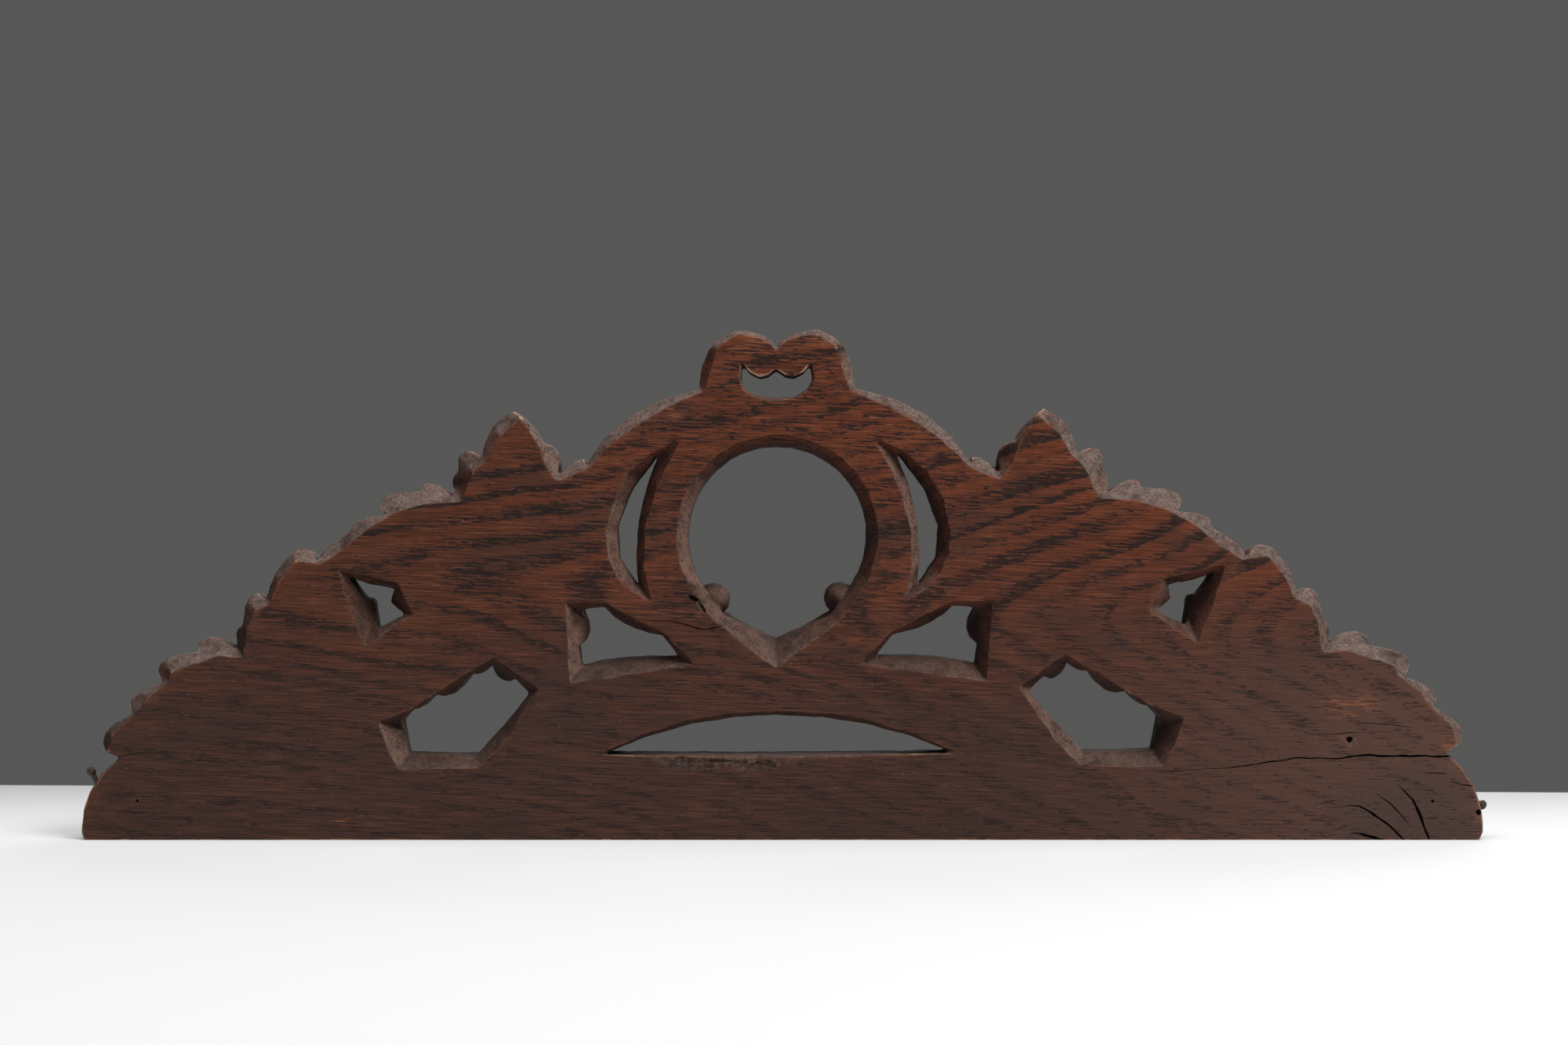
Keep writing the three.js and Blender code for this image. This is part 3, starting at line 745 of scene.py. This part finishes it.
def rough_cuts(s, place, wood, grit, carved_front):
    """Colour of the cut walls: pricked with pores, with painted shade where they look down or left and far
    into the openings, and dusty elsewhere, with painted light where they look to the right.
    """
    _, y, _ = s.parts(place)
    across, _, rising = s.parts(s.normal())
    sky = s.attribute("open_sky")
    pricks = s.math("SUBTRACT", 1.0, s.step(s.dots(place, CUT_PORE_SPACING), 0.22, 0.38))
    pricks = s.math("MULTIPLY", pricks, s.step(s.noise(place, CUT_PORE_CLUMP), 0.38, 0.58))
    end_grain = s.step(s.math("ABSOLUTE", across), 0.2, 0.6)
    pricks = s.math("MULTIPLY", pricks, s.math("MULTIPLY_ADD", end_grain, 0.6, 0.35))
    dusty = wall_dust_and_light(s, place, s.step(grit, 0.3, 0.66))

    raw = s.mix(carved_front, s.mix(1.0, wood, RAW_CUT, "MULTIPLY"), wood)
    up_or_right = s.math("MULTIPLY_ADD", across, 0.7, rising)
    # painted shade on walls that look down or to the left, weaker where the sky is open
    shaded = s.math("SUBTRACT", 1.0, s.step(up_or_right, -0.4, 0.45))
    shaded = s.math("MULTIPLY", shaded, s.math("MULTIPLY_ADD", sky, -0.7, 0.8))
    raw = s.mix(s.math("MULTIPLY", s.step(y, -20.0, -10.0), shaded), raw, colour(SHADED_WALL))

    # dust lies on walls that look up; the extra on walls that look to the right is painted light
    looks_right = s.math("MULTIPLY_ADD", s.step(across, 0.3, 0.8), 0.22, 0.4)
    most_dust_and_light = s.math("MINIMUM", s.math("MULTIPLY_ADD", sky, 0.42, looks_right), 0.85)
    settled_dust_and_light = s.math("MULTIPLY", s.step(up_or_right, -0.35, 0.5), most_dust_and_light)
    settled_dust_and_light = s.math("MULTIPLY", settled_dust_and_light, s.step(s.noise(place, DUST_CLOUD, 3.0), 0.2, 0.5))
    kept_dark = s.math("MULTIPLY_ADD", patch(s, place, DARK_CUT, 0.3), -0.65, 1.0)
    settled_dust_and_light = s.math("MULTIPLY", settled_dust_and_light, kept_dark)
    cut_wood = s.mix(pricks, s.mix(settled_dust_and_light, raw, dusty), colour(CUT_PORE))
    # painted shade far inside the openings, where little sky is open
    deep_shade = s.math("MULTIPLY", s.step(y, -13.0, -2.0), s.math("SUBTRACT", 1.0, s.step(sky, 0.3, 0.85)))
    return s.mix(s.math("MULTIPLY", deep_shade, 0.66), cut_wood, colour(DEEP_WALL_SHADE))


def worn_edges(s, place, wood, carved_front):
    """Colour with the arrises rubbed bright where hands reach them, with a painted highlight on those that
    look to the right, and the hollows darkened by dirt and painted shade.
    """
    across, _, _ = s.parts(s.normal())
    stands_out = s.attribute("stands_out")
    handled_or_lit = s.math("MULTIPLY_ADD", s.step(s.attribute("open_sky"), 0.45, 0.95), 0.75, 0.12)
    # arrises that look to the right are brighter: painted light
    handled_or_lit = s.math("MAXIMUM", handled_or_lit, s.math("MULTIPLY", s.step(across, 0.2, 0.7), 0.6))
    warm = s.math("MULTIPLY", s.step(stands_out, 0.1, 0.45), s.step(s.noise(place, 13.0, 3.0), 0.4, 0.66))
    wood = s.mix(s.math("MULTIPLY", warm, s.math("MULTIPLY", handled_or_lit, 0.38)), wood, colour(WARM_ARRIS))
    # pale arrises: wear, with a painted highlight
    rubbed = s.math("MULTIPLY", s.step(stands_out, 0.34, 0.66), s.step(s.noise(place, 9.0, 3.0), 0.34, 0.56))
    wood = s.mix(s.math("MULTIPLY", rubbed, handled_or_lit), wood, colour(WORN_AND_HIGHLIT_ARRIS))
    # dirt and painted shade in hollows and where other surfaces are close, weaker on the carved front
    hollow = s.step(s.math("MULTIPLY", stands_out, -1.0), 0.15, 0.8)
    shut_in = s.math("SUBTRACT", 1.0, s.step(s.attribute("open_near"), 0.2, 0.85))
    most_grime_and_shade = s.math("MULTIPLY_ADD", carved_front, -0.4, 0.8)
    grime_and_shade = s.math("MULTIPLY", s.math("MAXIMUM", hollow, shut_in), most_grime_and_shade)
    return s.mix(grime_and_shade, wood, colour(GRIME_AND_SHADE))


def oak():
    """Dark-stained oak with rows of open pores, worn bright on its arrises and dusty on the rough cuts, with
    painted light and shade on the cuts, arrises and hollows, and a painted highlight along the fibres.
    """
    s = Shader("dark_oak")
    place = s.place()
    _, y, _ = s.parts(place)
    _, facing, _ = s.parts(s.normal())
    early, upper, pores, fibres = grain(s, place)
    wood = stained_wood(s, place, early, upper, pores, fibres)
    grit = s.noise(place, GRIT, 4.0, 0.75)
    carved_front = s.step(y, 2.0, 12.0)
    wall = s.math("SUBTRACT", 1.0, s.step(s.math("ABSOLUTE", facing), 0.78, 0.96))
    wall = s.math("MAXIMUM", wall, s.step(y, -17.5, -13.5))
    wood = s.mix(wall, wood, rough_cuts(s, place, wood, grit, carved_front))
    s.put(s.surface.inputs["Base Color"], worn_edges(s, place, wood, carved_front))

    s.surface.inputs["Specular IOR Level"].default_value = 0.2
    rough = s.math("MULTIPLY_ADD", wall, 0.25, s.math("MULTIPLY_ADD", fibres, 0.25, 0.42))
    s.put(s.surface.inputs["Roughness"], rough)
    relief_height = s.math("MULTIPLY_ADD", fibres, 0.5, s.math("MULTIPLY", pores, -1.0))
    relief_height = s.math("MULTIPLY_ADD", s.math("MULTIPLY", wall, grit), 1.6, relief_height)
    s.bump(relief_height, 0.35 * MM, 0.7)
    return s.material


def iron():
    """Rusted nail: brown crust in patches over dark iron."""
    s = Shader("rusty_iron")
    place = s.place()
    crust = s.step(s.noise(place, 1.6, 4.0, 0.65), 0.36, 0.62)
    flecks = s.noise(place, 0.5, 3.0, 0.7)
    rust = s.mix(flecks, colour(DARK_RUST), colour(PALE_RUST))
    s.put(s.surface.inputs["Base Color"], s.mix(crust, colour(BARE_IRON), rust))
    s.put(s.surface.inputs["Metallic"], s.math("SUBTRACT", 0.5, s.math("MULTIPLY", crust, 0.45)))
    s.put(s.surface.inputs["Roughness"], s.math("MULTIPLY_ADD", crust, 0.3, 0.5))
    s.bump(s.math("ADD", crust, flecks), 0.25 * MM, 0.8)
    return s.material


def pale_floor():
    """White table top, with painted shade towards its far edge."""
    s = Shader("pale_floor")
    _, y, _ = s.parts(s.place())
    # painted shade, growing towards the far edge
    far = s.step(y, 0.0, 1.5 * FLOOR_BEHIND / MM)
    s.put(s.surface.inputs["Base Color"], s.mix(far, FLOOR_COLOUR, FLOOR_FAR_SHADE))
    s.surface.inputs["Roughness"].default_value = 0.9
    return s.material


# Stage

def make_floor():
    shape = bmesh.new()
    skew = FLOOR_SKEW * FLOOR_REACH
    corners = [(-FLOOR_REACH, -FLOOR_REACH), (FLOOR_REACH, -FLOOR_REACH),
               (FLOOR_REACH, FLOOR_BEHIND - skew), (-FLOOR_REACH, FLOOR_BEHIND + skew)]
    shape.faces.new([shape.verts.new((x, y, 0.0)) for x, y in corners])
    mesh = bpy.data.meshes.new("floor")
    shape.to_mesh(mesh)
    shape.free()
    floor = new_piece("floor", mesh)
    floor.data.materials.append(pale_floor())


def soft_light(name, place, target, width, height, watts):
    light = bpy.data.lights.new(name, "AREA")
    light.shape = "RECTANGLE"
    light.size = width
    light.size_y = height
    light.energy = watts
    lamp = bpy.data.objects.new(name, light)
    lamp.location = place
    lamp.rotation_euler = (Vector(target) - Vector(place)).to_track_quat("-Z", "Y").to_euler()
    bpy.context.scene.collection.objects.link(lamp)


def make_lights():
    middle = (0.0, 0.0, 0.15)
    soft_light("key", (1.9, -1.5, 2.8), middle, 1.5, 1.3, 84)
    soft_light("top", (-0.2, -0.4, 3.0), middle, 2.4, 1.4, 62)
    soft_light("fill", (-1.4, -2.8, 1.4), middle, 1.8, 1.8, 8)
    soft_light("behind", (0.9, 2.4, 1.7), middle, 1.8, 1.8, 24)
    world = bpy.data.worlds.new("studio")
    world.use_nodes = True
    world.node_tree.nodes["Background"].inputs["Color"].default_value = BACKGROUND
    bpy.context.scene.world = world


def make_camera():
    data = bpy.data.cameras.new("camera")
    data.sensor_width = SENSOR_WIDTH
    data.lens = FOCAL_PIXELS / PHOTO_WIDTH * SENSOR_WIDTH
    camera = bpy.data.objects.new("camera", data)
    camera.location = (CAMERA_X, FACE_Y - CAMERA_DISTANCE, CAMERA_Z)
    camera.rotation_euler = (math.pi / 2, 0, 0)
    bpy.context.scene.collection.objects.link(camera)
    bpy.context.scene.camera = camera


bpy.context.scene.view_settings.view_transform = "Standard"
make_camera()
make_floor()
make_lights()

board = make_board()
board.data.materials.append(oak())
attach(board, "root")
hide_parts("pediment_board")

rusty = iron()
for nail_name in NAILS:
    nail_piece = make_nail(nail_name)
    nail_piece.data.materials.append(rusty)
    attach(nail_piece, "root")
    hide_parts(nail_name)
